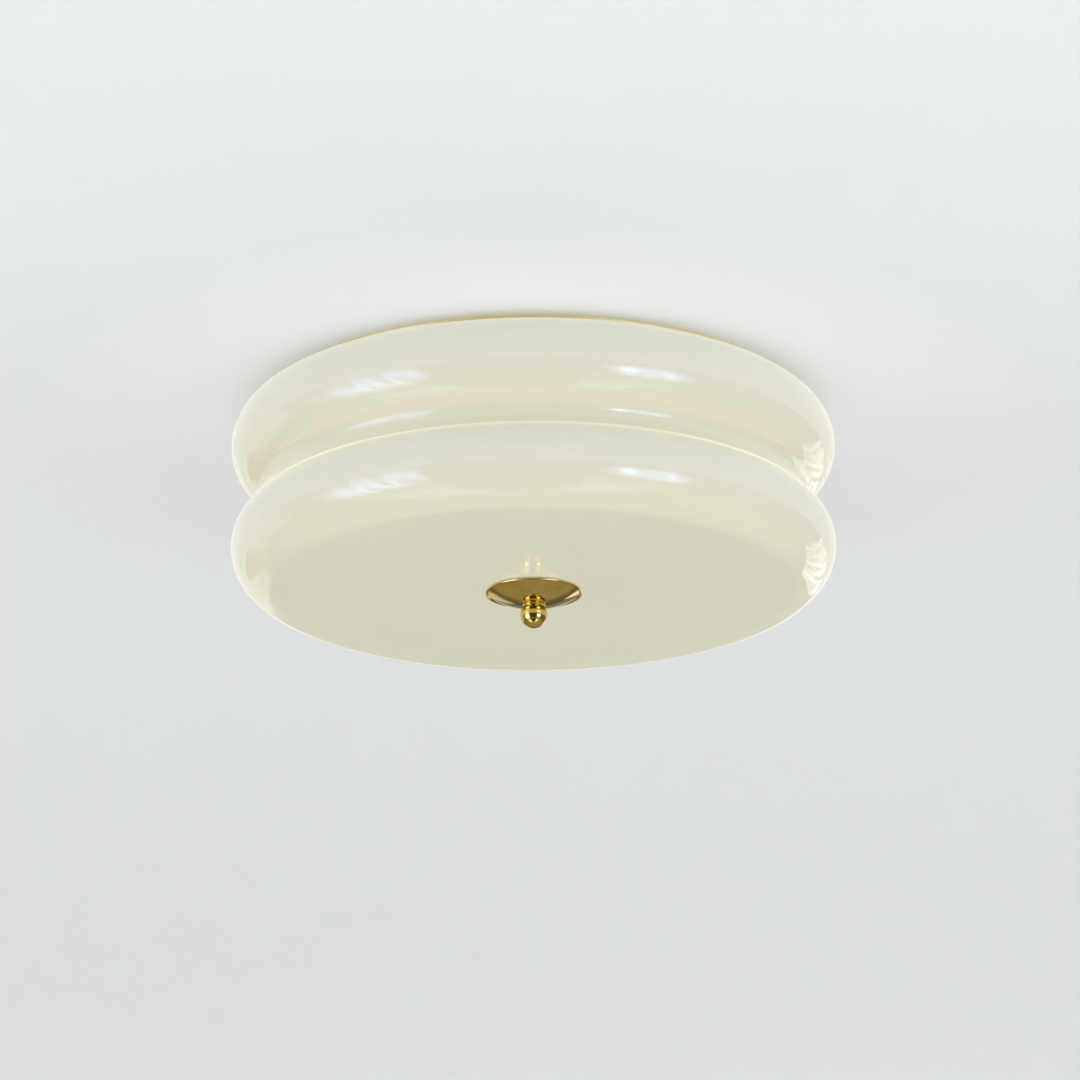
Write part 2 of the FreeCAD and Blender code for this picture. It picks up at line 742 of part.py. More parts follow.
def make_bracket_fasteners():
    """One screw and one nut to each bracket."""
    screws, nuts = [], []
    head_level = S["pan_depth"] + S["bracket_sheet"]
    length = S["bracket_sheet"] + S["pan_sheet"] + S["nut_height"] + S["screw_end_rise"] / 2
    for number, angle in enumerate(LAMP_ANGLES, start=1):
        x = lamp_foot_hole * math.cos(math.radians(angle))
        y = lamp_foot_hole * math.sin(math.radians(angle))
        one = screw(new_body(f"bracket_screw_{number}"), S["screw_radius"], S["screw_head_radius"],
                    S["screw_head_height"], length)
        one.Placement.Rotation = FreeCAD.Rotation(FreeCAD.Vector(1, 0, 0), 180)
        screws.append(lift(one, x=x, y=y, z=-head_level))
        nut = hexagon(new_body(f"bracket_nut_{number}"), S["nut_across"], S["nut_height"],
                      S["screw_radius"] + S["thread_gap"])
        nuts.append(lift(nut, x=x, y=y, z=-pan_floor_top))
    bundle("bracket_screws", screws)
    bundle("bracket_nuts", nuts)


def make_lampholder(number, angle):
    """Lampholder body: closed back with the screw and wire holes, and a socket at the front."""
    outer = S["holder_radius"]
    socket = shell_outer_radius + S["thread_gap"]
    rim = outer + S["holder_rim_step"]
    floor = holder_floor_level
    chamfer = S["holder_chamfer"]
    well = outer - S["holder_wall"] - S["holder_rim_step"]
    rim_start = holder_front - S["holder_rim_length"]
    corners = [
        (0, holder_back),
        (outer - chamfer, holder_back),
        (outer, holder_back + chamfer),
        (outer, rim_start - S["holder_rim_step"]),
        (rim, rim_start),
        (rim, holder_front - chamfer),
        (rim - chamfer, holder_front),
        (socket, holder_front),
        (socket, shell_back),
        (well, shell_back),
        (well, floor),
        (0, floor),
    ]
    body = revolve(new_body(f"lampholder_{number}"), corners)
    holes = new_sketch(body, "XY_Plane", holder_back + S["holder_screw_depth"])
    for side in (-1, 1):
        draw_circle(holes, S["holder_screw_offset"] * side, 0,
                    S["holder_screw_radius"] + S["thread_gap"])
    pocket(body, holes, S["holder_screw_depth"] * 2, "screw_holes")
    add_node(point_outward(body, angle), f"lampholder_{number}")


def make_holder_shell(number, angle):
    """Metal shell of the lampholder that the bulb screws into."""
    front = shell_back + S["shell_length"]
    body = ring(new_body(f"holder_shell_{number}"), shell_inner_radius, shell_outer_radius,
                shell_back, front)
    add_node(point_outward(body, angle), f"holder_shell_{number}")


def make_centre_contacts():
    """Spring tongue on the floor of each lampholder, up to the tip of the bulb."""
    floor = holder_floor_level
    top = floor + S["tongue_rise"]
    half = S["tongue_length"] / 2
    thick = S["tongue_thick"]
    tongues = []
    for number, angle in enumerate(LAMP_ANGLES, start=1):
        body = new_body(f"centre_contact_{number}")
        profile = new_sketch(body, "XZ_Plane", -S["tongue_width"] / 2)
        fold = half / 4
        corners = [(-half, floor), (-fold, floor), (fold, top - thick), (half, top - thick),
                   (half, top), (fold - thick / 2, top), (-fold - thick / 2, floor + thick),
                   (-half, floor + thick)]
        draw_outline(profile, corners)
        pad(body, profile, S["tongue_width"])
        tongues.append(point_outward(body, angle))
    bundle("centre_contacts", tongues)


def make_holder_screws():
    """Two screws through each bracket into the back of its lampholder."""
    screws = []
    length = S["bracket_sheet"] + S["holder_screw_depth"] - S["bulb_seat_gap"]
    for number, angle in enumerate(LAMP_ANGLES, start=1):
        for side in (-1, 1):
            name = f"holder_screw_{number}_{'a' if side < 0 else 'b'}"
            body = new_body(name)
            radius = S["holder_screw_radius"]
            head = S["holder_screw_head"]
            back = S["bracket_reach"]
            shift = S["holder_screw_offset"] * side
            revolve(body, [(0, back - radius), (head, back - radius), (head, back), (radius, back),
                           (radius, back + length), (0, back + length)])
            point_outward(body, angle)
            lift(body, z=-(S["lamp_axis_depth"] + shift))
            screws.append(body)
    bundle("holder_screws", screws)


def make_bulb_cap(number, angle):
    """Screw cap of the bulb, a thin shell with ring grooves and a closed tip."""
    outer = S["cap_screw_radius"]
    inner = outer - S["cap_screw_wall"] - S["cap_screw_groove"]
    tip = S["bulb_tip_radius"]
    groove = S["cap_screw_groove"]
    back = bulb_cap_back
    turns = 5
    plain = S["cap_screw_length"] / 8
    turn = (S["cap_screw_length"] - plain * 2) / turns
    corners = [(0, bulb_tip), (tip, bulb_tip), (outer - groove, back), (outer, back + plain)]
    for i in range(turns):
        start = back + plain + turn * i
        corners.append((outer - groove, start + turn / 2))
        corners.append((outer, start + turn))
    floor = S["bulb_cap_floor"]
    corners += [(outer, bulb_shoulder), (inner, bulb_shoulder), (inner, back + floor),
                (tip - S["bulb_tip_wall"], bulb_tip + floor), (0, bulb_tip + floor)]
    body = revolve(new_body(f"bulb_cap_{number}"), corners)
    add_node(point_outward(body, angle), f"bulb_cap_{number}")


def make_bulb_body(number, angle):
    """Tapered plastic body of the bulb, its spigot inside the screw cap."""
    wall = S["bulb_body_wall"]
    outer = S["bulb_body_radius"]
    spigot = S["cap_screw_radius"] - S["cap_screw_wall"] - S["cap_screw_groove"]
    shoulder = S["cap_screw_radius"] + S["bulb_shoulder_step"]
    back = bulb_shoulder - S["bulb_spigot_length"]
    ledge = led_ledge
    corners = [
        (spigot - wall, back),
        (spigot, back),
        (spigot, bulb_shoulder),
        (shoulder, bulb_shoulder),
        (outer, ledge),
        (outer, bulb_body_end),
        (outer - wall, bulb_body_end),
        (outer - wall, ledge),
        (outer - wall * 3, ledge),
        (spigot - wall, bulb_shoulder + wall),
    ]
    body = revolve(new_body(f"bulb_body_{number}"), corners)
    add_node(point_outward(body, angle), f"bulb_body_{number}")


def make_led_board(number, angle):
    """Round board that seats on the ledge inside the bulb's body."""
    ledge = led_ledge
    radius = S["bulb_body_radius"] - S["bulb_body_wall"] - S["hole_gap"]
    corners = [(0, ledge), (radius, ledge), (radius, ledge + S["led_board_thick"]),
               (0, ledge + S["led_board_thick"])]
    body = revolve(new_body(f"led_board_{number}"), corners)
    add_node(point_outward(body, angle), f"led_board_{number}")


def make_bulb_globe(number, angle):
    """Opal globe of the bulb, a thin shell on the rim of its body."""
    outer = bulb_globe_radius
    wall = S["bulb_globe_wall"]
    inner = outer - wall
    foot = S["bulb_body_radius"]
    foot_inner = foot - wall
    foot_height = S["bulb_body_length"] / 5
    centre = bulb_body_end + foot_height + root(outer * outer - foot * foot)
    inner_start = centre - root(inner * inner - foot_inner * foot_inner)
    corners = [
        (foot_inner, bulb_body_end),
        (foot, bulb_body_end),
        (foot, bulb_body_end + foot_height),
        (outer, centre),
        (0, centre + outer),
        (0, centre + inner),
        (inner, centre),
        (foot_inner, inner_start),
    ]
    arcs = {2: (outer, True), 3: (outer, True), 5: (inner, False), 6: (inner, False)}
    body = revolve(new_body(f"bulb_globe_{number}"), corners, arcs)
    add_node(point_outward(body, angle), f"bulb_globe_{number}")


def block_poles():
    """Places of the terminal block's three poles along X."""
    return [pole_pitch * step for step in (-1, 0, 1)]


sleeve_level = pan_floor_top - S["block_height"] / 2


def make_terminal_block():
    """Terminal block: plastic body with three bored poles."""
    half = block_length / 2
    near = S["block_place"] - S["block_width"] / 2
    far = S["block_place"] + S["block_width"] / 2
    body = new_body("terminal_block")
    plan = new_sketch(body, "XY_Plane", -pan_floor_top)
    draw_outline(plan, [(-half, near), (half, near), (half, far), (-half, far)])
    pad(body, plan, S["block_height"])
    bores = new_sketch(body, "XZ_Plane", -(far + 1))
    for place in block_poles():
        draw_circle(bores, place, -sleeve_level, S["sleeve_radius"] + S["thread_gap"])
    pocket(body, bores, S["block_width"] + 2, "bores", along_normal=True)
    top = pan_floor_top - S["block_height"]
    clamps = new_sketch(body, "XY_Plane", -top)
    for place in block_poles():
        for side in (-1, 1):
            draw_circle(clamps, place, S["block_place"] + S["clamp_screw_pitch"] / 2 * side,
                        S["clamp_screw_radius"] + S["hole_gap"])
    pocket(body, clamps, S["block_height"] / 2, "clamp_holes")
    sinks = new_sketch(body, "XY_Plane", -top)
    passages = new_sketch(body, "XY_Plane", -top)
    for side in (-1, 1):
        place = pole_pitch / 2 * side
        draw_circle(sinks, place, S["block_place"], S["block_screw_head"] + S["hole_gap"] / 2)
        draw_circle(passages, place, S["block_place"], S["block_screw_radius"] + S["hole_gap"])
    pocket(body, sinks, S["block_screw_sink"], "screw_sinks")
    pocket(body, passages, S["block_height"] + 1, "screw_passages")
    add_node(body, "terminal_block")


def make_terminal_fittings():
    """Brass sleeves and clamp screws in the block, and the screws that hold it down."""
    sleeves, clamps, holders = [], [], []
    for number, place in enumerate(block_poles(), start=1):
        body = new_body(f"terminal_sleeve_{number}")
        near = S["block_place"] - sleeve_length / 2
        profile = new_sketch(body, "XZ_Plane", -(near + sleeve_length))
        draw_circle(profile, place, -sleeve_level, S["sleeve_radius"])
        draw_circle(profile, place, -sleeve_level, S["sleeve_bore_radius"])
        pad(body, profile, sleeve_length)
        threads = new_sketch(body, "XY_Plane", -(sleeve_level - S["sleeve_radius"] * 2))
        for side in (-1, 1):
            draw_circle(threads, place, S["block_place"] + S["clamp_screw_pitch"] / 2 * side,
                        S["clamp_screw_radius"] + S["thread_gap"])
        pocket(body, threads, S["sleeve_radius"] * 2, "threads")
        sleeves.append(body)
        top = pan_floor_top - S["block_height"] + S["clamp_screw_sink"]
        for side in (-1, 1):
            one = new_body(f"clamp_screw_{number}_{'a' if side < 0 else 'b'}")
            radius = S["clamp_screw_radius"]
            revolve(one, [(0, -sleeve_level), (radius, -sleeve_level), (radius, -top), (0, -top)])
            clamps.append(lift(one, x=place, y=S["block_place"] + S["clamp_screw_pitch"] / 2 * side))
    seat = pan_floor_top - S["block_height"] + S["block_screw_sink"]
    for number, side in enumerate((-1, 1), start=1):
        length = S["pan_depth"] + S["nut_height"] - seat
        one = screw(new_body(f"block_screw_{number}"), S["block_screw_radius"], S["block_screw_head"],
                    S["block_screw_radius"], length)
        holders.append(lift(one, x=pole_pitch / 2 * side, y=S["block_place"], z=-seat))
    bundle("terminal_sleeves", sleeves)
    bundle("terminal_screws", clamps)
    bundle("block_screws", holders)


def make_earth_point():
    """Ring lug with its barrel, and the screw that holds it on the pan."""
    body = new_body("earth_lug")
    plan = new_sketch(body, "XY_Plane", -pan_floor_top)
    neck = S["lug_barrel_radius"]
    radius = S["lug_radius"]
    joint = root(radius * radius - neck * neck)
    x, y = S["earth_place_along"], S["earth_place_back"]
    reach = y + S["lug_reach"]
    corners = [(x - neck, y + joint), (x - radius, y), (x, y - radius), (x + radius, y),
               (x + neck, y + joint), (x + neck, reach), (x - neck, reach)]
    arcs = {0: (radius, True), 1: (radius, True), 2: (radius, True), 3: (radius, True)}
    draw_outline(plan, corners, arcs)
    draw_circle(plan, x, y, S["screw_radius"] + S["hole_gap"])
    pad(body, plan, S["lug_thick"])
    barrel = new_sketch(body, "XZ_Plane", -reach)
    draw_circle(barrel, x, -(pan_floor_top - S["lug_barrel_radius"]), S["lug_barrel_radius"])
    pad(body, barrel, S["lug_barrel_length"], "barrel")
    add_node(body, "earth_lug")
    length = S["lug_thick"] + S["pan_sheet"] + S["screw_end_rise"]
    one = screw(new_body("earth_screw"), S["screw_radius"], S["screw_head_radius"] - S["hole_gap"],
                S["screw_head_height"], length)
    add_node(lift(one, x=x, y=y, z=-(pan_floor_top - S["lug_thick"])), "earth_screw")


def make_lead_grommet():
    """Soft grommet in the pan's floor where the lamp leads pass."""
    bore = S["grommet_bore_radius"]
    hub = grommet_hub
    flange = grommet_rim
    thick = S["grommet_flange_thick"]
    depth = S["pan_depth"]
    corners = [
        (bore, -(depth + thick)),
        (flange, -(depth + thick)),
        (flange, -depth),
        (hub, -depth),
        (hub, -pan_floor_top),
        (flange, -pan_floor_top),
        (flange, -(pan_floor_top - thick)),
        (bore, -(pan_floor_top - thick)),
    ]
    body = revolve(new_body("lead_grommet"), corners)
    add_node(lift(body, y=grommet_place), "lead_grommet")


def easy_bend(pulls, runs):
    """Points along a smooth curve given by its four pull points, without the first."""
    curve = Part.BezierCurve()
    curve.setPoles(pulls)
    return [curve.value(step / runs) for step in range(1, runs + 1)]


def rounded_path(points):
    """Straight runs joined by tangent arcs, and the smallest of their radii."""
    edges, radii = [], []
    last = points[0]
    for before, corner, after in zip(points, points[1:], points[2:]):
        back, ahead = before - corner, after - corner
        half_turn = (math.pi - back.getAngle(ahead)) / 2
        setback = 0.45 * min(back.Length, ahead.Length)
        radius = setback / math.tan(half_turn)
        back.normalize()
        ahead.normalize()
        start, end = corner + back * setback, corner + ahead * setback
        inward = (back + ahead).normalize()
        middle = corner + inward * (radius / math.cos(half_turn) - radius)
        edges.append(Part.LineSegment(last, start).toShape())
        edges.append(Part.Arc(start, middle, end).toShape())
        radii.append(radius)
        last = end
    edges.append(Part.LineSegment(last, points[-1]).toShape())
    return Part.Wire(edges), min(radii)


def make_wire(label, points, radius):
    """A round wire along its route."""
    path, tightest = rounded_path(points)
    profile = Part.Wire([Part.Circle(points[0], points[1] - points[0], radius.number).toShape()])
    solid = path.makePipeShell([profile], True, False)
    expected = math.pi * radius.number ** 2 * path.Length
    print(f"{label}: length {path.Length:.1f}, tightest radius {tightest:.1f}, "
          f"volume {solid.Volume:.1f} of {expected:.1f}")
    wire = doc.addObject("Part::Feature", label)
    wire.Shape = solid
    add_node(wire, label)


def make_lamp_leads():
    """Sleeved leads from the live side of the block, through the grommet, to the lampholders."""
    stub = 5.0
    step = (S["lead_radius"] * 2 + S["lead_gap"]).number
    spread = (S["lead_radius"] + S["lead_gap"] * 2).number
    live_side = -pole_pitch.number / 2
    face = (S["block_place"] - S["block_width"] / 2).number
    depth = -S["lamp_axis_depth"].number
    grommet = FreeCAD.Vector(0, grommet_place.number, -(S["pan_depth"] - S["pan_sheet"] / 2).number)
    beside_rod = FreeCAD.Vector(S["rod_radius"].number + 6.0, 0, depth + 18.0)
    down = FreeCAD.Vector(0, 0, -1)
    back = FreeCAD.Vector(0, -1, 0)
    for number, side, rise in ((1, 0, 7.5), (2, 1, 2.0), (3, -1, 2.0)):
        turn = math.radians(LAMP_ANGLES[number - 1])
        outward = FreeCAD.Vector(math.cos(turn), math.sin(turn), 0)
        start = FreeCAD.Vector(live_side + step * side, face, -sleeve_level.number)
        leave = start + back * stub
        through = grommet + outward * spread
        end = outward * holder_back.number + FreeCAD.Vector(0, 0, depth)
        arrive = end - outward * stub
        over = [leave, leave + back * 8 - down * rise, through - down * (7 + rise * 1.2), through]
        points = [start, leave] + easy_bend(over, 3)
        if side == 0:
            ahead = FreeCAD.Vector(0, -9, -5.5)
            points += easy_bend([through, through + down * 10, beside_rod - ahead, beside_rod], 3)
            near = FreeCAD.Vector(4, 0, 0)
            points += easy_bend([beside_rod, beside_rod + ahead, arrive - outward * 7 + near, arrive], 3)
        else:
            points += easy_bend([through, through + down * 17, arrive - outward * 13, arrive], 4)
        make_wire(f"lamp_lead_{number}", points + [end], S["lead_radius"])


def make_earth_wire():
    """Wire from the last pole's sleeve round to the barrel of the earth lug."""
    stub = 3.5
    sleeve_end = (S["block_place"] + sleeve_length / 2).number
    rear = (S["block_place"] + S["block_width"] / 2).number
    lug_end = (S["earth_place_back"] + S["lug_reach"] + S["lug_barrel_length"]).number
    lug_level = (pan_floor_top - S["lug_barrel_radius"]).number
    place = pole_pitch.number
    start = FreeCAD.Vector(place, sleeve_end - 1.2, -sleeve_level.number)
    leave = FreeCAD.Vector(place, rear + stub, -sleeve_level.number)
    end = FreeCAD.Vector(S["earth_place_along"].number, lug_end, -lug_level)
    arrive = end + FreeCAD.Vector(0, stub, 0)
    pulls = [leave, leave + FreeCAD.Vector(0, 12, 1), arrive + FreeCAD.Vector(0, 10, 2), arrive]
    make_wire("earth_wire", [start, leave] + easy_bend(pulls, 4) + [end], S["earth_wire_radius"])


def check_and_write():
    """Stop on any failed object, then write each sub-part to its own file."""
    doc.recompute()
    for thing in doc.Objects:
        for mark in ("Invalid", "Error"):
            if mark in thing.State:
                raise RuntimeError(f"{thing.Label} is {mark}")
    for thing in nodes:
        if thing.Shape.isNull() or not thing.Shape.isValid():
            raise RuntimeError(f"{thing.Label} has no valid shape")
    for thing in nodes:
        thing.Shape.exportStep(f"parts/{thing.Label}.step")
    print(f"{len(nodes)} sub-parts written")


def main():
    """Build every sub-part."""
    os.makedirs("parts", exist_ok=True)
    make_crossbar()
    make_crossbar_screws()
    make_ceiling_pan()
    make_pan_gasket()
    make_hanging_rod()
    make_terminal_block()
    make_terminal_fittings()
    make_earth_point()
    make_earth_wire()
    make_lead_grommet()
    make_lamp_leads()
    make_bracket_fasteners()
    make_centre_contacts()
    make_holder_screws()
    for number, angle in enumerate(LAMP_ANGLES, start=1):
        make_lamp_bracket(number, angle)
        make_lampholder(number, angle)
        make_holder_shell(number, angle)
        make_bulb_cap(number, angle)
        make_bulb_body(number, angle)
        make_led_board(number, angle)
        make_bulb_globe(number, angle)
    make_glass_shade()
    make_shade_bush()
    make_cap_gasket()
    make_finial_cap()
    make_finial_nut()
    check_and_write()


main()
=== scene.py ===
import bpy
import json
import math
from mathutils import Matrix, Vector


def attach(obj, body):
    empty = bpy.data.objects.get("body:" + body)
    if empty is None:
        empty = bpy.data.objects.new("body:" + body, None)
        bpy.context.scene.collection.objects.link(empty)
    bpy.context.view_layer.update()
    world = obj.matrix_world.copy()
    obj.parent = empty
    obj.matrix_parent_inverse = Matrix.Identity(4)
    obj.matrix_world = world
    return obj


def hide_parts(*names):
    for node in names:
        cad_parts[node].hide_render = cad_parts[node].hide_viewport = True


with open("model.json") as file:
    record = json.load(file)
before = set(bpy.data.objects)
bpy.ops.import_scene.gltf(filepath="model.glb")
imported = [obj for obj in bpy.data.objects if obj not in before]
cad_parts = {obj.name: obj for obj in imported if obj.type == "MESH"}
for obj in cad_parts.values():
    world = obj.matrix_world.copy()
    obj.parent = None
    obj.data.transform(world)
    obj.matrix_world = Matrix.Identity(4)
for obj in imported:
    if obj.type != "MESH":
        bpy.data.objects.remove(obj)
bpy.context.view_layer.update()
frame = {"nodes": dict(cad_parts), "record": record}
scene = bpy.context.scene
MM = 0.001

# ---------------------------------------------------------------- camera
CAMERA_DISTANCE = 6.0
CAMERA_ELEVATION = math.radians(-18.5)
CAMERA_ROLL = math.radians(-0.26)
PIXELS_PER_METRE = 1510.0
FRAME_SIDE = 1080
TARGET = Vector((0, 0, -0.075))
TARGET_PIXEL = (533.4, 507.1)
SENSOR_WIDTH = 36.0
CLIP_RANGE = (0.5, 60.0)


def make_camera():
    """Long lens from below, aimed so that the light lies where the photograph has it."""
    focal_pixels = PIXELS_PER_METRE * CAMERA_DISTANCE
    towards_camera = Vector((0, -math.cos(CAMERA_ELEVATION), math.sin(CAMERA_ELEVATION)))
    place = TARGET + towards_camera * CAMERA_DISTANCE
    forward = -towards_camera
    across = Vector((1, 0, 0))
    upward = across.cross(forward)
    right = across * math.cos(CAMERA_ROLL) + upward * math.sin(CAMERA_ROLL)
    up = upward * math.cos(CAMERA_ROLL) - across * math.sin(CAMERA_ROLL)
    offset_x = (FRAME_SIDE / 2 - TARGET_PIXEL[0]) / focal_pixels
    offset_y = (TARGET_PIXEL[1] - FRAME_SIDE / 2) / focal_pixels
    aim = (forward + right * offset_x + up * offset_y).normalized()
    right = aim.cross(up).normalized()
    up = right.cross(aim)
    data = bpy.data.cameras.new("photo_camera")
    data.sensor_width = SENSOR_WIDTH
    data.lens = SENSOR_WIDTH * focal_pixels / FRAME_SIDE
    data.clip_start, data.clip_end = CLIP_RANGE
    camera = bpy.data.objects.new("photo_camera", data)
    scene.collection.objects.link(camera)
    rotation = Matrix((right, up, -aim)).transposed().to_4x4()
    camera.matrix_world = Matrix.Translation(place) @ rotation
    scene.camera = camera


# ---------------------------------------------------------------- node helpers
def new_material(name):
    """A material with only its output and a Principled shader."""
    material = bpy.data.materials.new(name)
    material.use_nodes = True
    tree = material.node_tree
    tree.nodes.clear()
    output = tree.nodes.new("ShaderNodeOutputMaterial")
    shader = tree.nodes.new("ShaderNodeBsdfPrincipled")
    tree.links.new(shader.outputs["BSDF"], output.inputs["Surface"])
    return material, tree, shader


def first_of_type(tree, kind):
    """The tree's first node of a type."""
    return next(node for node in tree.nodes if node.type == kind)


def mapped(tree, vector, scale, location=(0, 0, 0)):
    """A vector scaled and then moved."""
    node = tree.nodes.new("ShaderNodeMapping")
    node.inputs["Location"].default_value = location
    node.inputs["Scale"].default_value = scale
    tree.links.new(vector, node.inputs["Vector"])
    return node.outputs["Vector"]


def object_coordinates(tree, scale=(1, 1, 1)):
    """Object coordinates in metres, stretched by scale."""
    coordinates = tree.nodes.new("ShaderNodeTexCoord")
    return mapped(tree, coordinates.outputs["Object"], scale)


def height_of(tree, vector):
    """Z of a vector."""
    node = tree.nodes.new("ShaderNodeSeparateXYZ")
    tree.links.new(vector, node.inputs["Vector"])
    return node.outputs["Z"]


def length_of(tree, vector):
    """Length of a vector."""
    node = tree.nodes.new("ShaderNodeVectorMath")
    node.operation = "LENGTH"
    tree.links.new(vector, node.inputs[0])
    return node.outputs["Value"]


def calculate(tree, operation, first, second=None):
    """Result of a math node on one or two values; the second is a socket or a plain number."""
    node = tree.nodes.new("ShaderNodeMath")
    node.operation = operation
    tree.links.new(first, node.inputs[0])
    if isinstance(second, float):
        node.inputs[1].default_value = second
    elif second is not None:
        tree.links.new(second, node.inputs[1])
    return node.outputs["Value"]


def noise(tree, vector, scale, detail=4.0, rough=0.55):
    """Noise value."""
    node = tree.nodes.new("ShaderNodeTexNoise")
    node.inputs["Scale"].default_value = scale
    node.inputs["Detail"].default_value = detail
    node.inputs["Roughness"].default_value = rough
    tree.links.new(vector, node.inputs["Vector"])
    return node.outputs["Fac"]


def spread(tree, value, low, high, start=0.3, end=0.7):
    """Map a value between start and end onto low to high."""
    node = tree.nodes.new("ShaderNodeMapRange")
    node.inputs["From Min"].default_value = start
    node.inputs["From Max"].default_value = end
    node.inputs["To Min"].default_value = low
    node.inputs["To Max"].default_value = high
    tree.links.new(value, node.inputs["Value"])
    return node.outputs["Result"]


def blend_colours(tree, value, dark, light, start=0.3, end=0.7):
    """Colour between dark and light by a value."""
    ramp = tree.nodes.new("ShaderNodeValToRGB")
    ramp.color_ramp.elements[0].position = start
    ramp.color_ramp.elements[0].color = (*dark, 1)
    ramp.color_ramp.elements[1].position = end
    ramp.color_ramp.elements[1].color = (*light, 1)
    tree.links.new(value, ramp.inputs["Fac"])
    return ramp.outputs["Color"]


def blend_over(tree, share, below, above):
    """A fixed colour laid over another colour by a share."""
    node = tree.nodes.new("ShaderNodeMixRGB")
    node.inputs["Color2"].default_value = (*above, 1)
    tree.links.new(share, node.inputs["Fac"])
    tree.links.new(below, node.inputs["Color1"])
    return node.outputs["Color"]


def bump(tree, height, distance):
    """Normal of a bump."""
    node = tree.nodes.new("ShaderNodeBump")
    node.inputs["Distance"].default_value = distance
    node.inputs["Strength"].default_value = 1.0
    tree.links.new(height, node.inputs["Height"])
    return node.outputs["Normal"]


# ---------------------------------------------------------------- finishes
FINE_GRAIN = 14.0

GLASS_DARK = (0.39, 0.375, 0.29)
GLASS_LIGHT = (0.41, 0.395, 0.31)
# painted skylight: a paler, bluer cream laid on up-facing glass and faded out near the groove,
# standing in for light from the ceiling above
GLASS_PAINTED_SKYLIGHT = (0.39, 0.39, 0.38)
SKYLIGHT_FACING = (-0.65, 0.1)
GROOVE_DEPTH = 0.0698
SKYLIGHT_GROOVE_FADE = (0.008, 0.022)
GLASS_CLOUDS = 7.0
GLASS_FILM = 35.0
GLASS_ROUGHNESS = (0.012, 0.03)
GLASS_RIPPLE = 9.0
RIPPLE_HEIGHT = 0.0002
GLASS_IOR = 1.52
GLASS_SUBSURFACE = 0.25
SUBSURFACE_RADIUS = (0.012, 0.010, 0.006)
# painted glow: the glass gives off a faint cream light that stands in for light passing through the
# opal and lifts its shade and the ceiling by the rim
PAINTED_GLOW_COLOUR = (1.0, 0.975, 0.77, 1)
PAINTED_GLOW_STRENGTH = 0.34

BRASS_DARK = (0.71, 0.49, 0.13)
BRASS_LIGHT = (0.79, 0.57, 0.18)
BRASS_CLOUDS = 40.0
BRASS_ROUGHNESS = (0.06, 0.11)
TURNING_MARKS = 30.0
MARK_STRETCH = (6, 6, 900)
MARK_HEIGHT = 0.000004

EARTH_GREEN = (0.05, 0.28, 0.06)
EARTH_YELLOW = (0.75, 0.66, 0.05)
EARTH_BAND = 0.0011
BAND_SPLIT = (0.45, 0.52)
EARTH_GRAIN = 900.0
EARTH_ROUGHNESS = (0.3, 0.42)

# slot: darker colour, lighter colour, range of roughness, further settings
FINISHES = {
    "gold_paint": ((0.93, 0.80, 0.43), (0.97, 0.85, 0.50), (0.28, 0.42),
                   {"metallic": 0.5, "scale": 25.0}),
    "zinc_steel": ((0.50, 0.52, 0.55), (0.66, 0.67, 0.68), (0.24, 0.42),
                   {"metallic": 1.0, "scale": 90.0, "stretch": (1, 1, 0.3)}),
    "plain_brass": ((0.58, 0.42, 0.16), (0.70, 0.53, 0.24), (0.22, 0.36),
                    {"metallic": 1.0, "scale": 120.0}),
    "terminal_plastic": ((0.74, 0.74, 0.70), (0.80, 0.80, 0.77), (0.38, 0.5),
                         {"scale": 80.0, "grain": 0.00004}),
    "porcelain": ((0.78, 0.77, 0.73), (0.85, 0.84, 0.81), (0.08, 0.16), {"scale": 30.0}),
    "silicone": ((0.62, 0.61, 0.56), (0.70, 0.69, 0.64), (0.45, 0.6),
                 {"scale": 60.0, "Subsurface Weight": 0.3, "Subsurface Scale": 0.002}),
    "sleeving": ((0.66, 0.63, 0.56), (0.80, 0.77, 0.70), (0.6, 0.75),
                 {"scale": 500.0, "grain": 0.0001}),
    "nickel": ((0.60, 0.57, 0.52), (0.72, 0.70, 0.66), (0.16, 0.28),
               {"metallic": 1.0, "scale": 70.0}),
    "bulb_plastic": ((0.80, 0.80, 0.79), (0.86, 0.86, 0.85), (0.26, 0.36), {"scale": 40.0}),
    "bulb_opal": ((0.84, 0.83, 0.79), (0.88, 0.87, 0.84), (0.42, 0.5),
                  {"scale": 30.0, "Subsurface Weight": 0.4, "Subsurface Scale": 0.006}),
    "board": ((0.76, 0.76, 0.74), (0.84, 0.84, 0.83), (0.35, 0.5), {"scale": 150.0}),
}


def surface(name, dark, light, rough, metallic=0.0, scale=60.0, stretch=(1, 1, 1),
            grain=0.00002, **sockets):
    """Finish with colour, roughness and bump that vary; sockets set further shader inputs."""
    material, tree, shader = new_material(name)
    vector = object_coordinates(tree, stretch)
    patches = noise(tree, vector, scale)
    fine = noise(tree, vector, scale * FINE_GRAIN, detail=3.0)
    tree.links.new(blend_colours(tree, patches, dark, light), shader.inputs["Base Color"])
    tree.links.new(spread(tree, fine, *rough), shader.inputs["Roughness"])
    tree.links.new(bump(tree, fine, grain), shader.inputs["Normal"])
    shader.inputs["Metallic"].default_value = metallic
    for socket, value in sockets.items():
        shader.inputs[socket].default_value = value
    return material


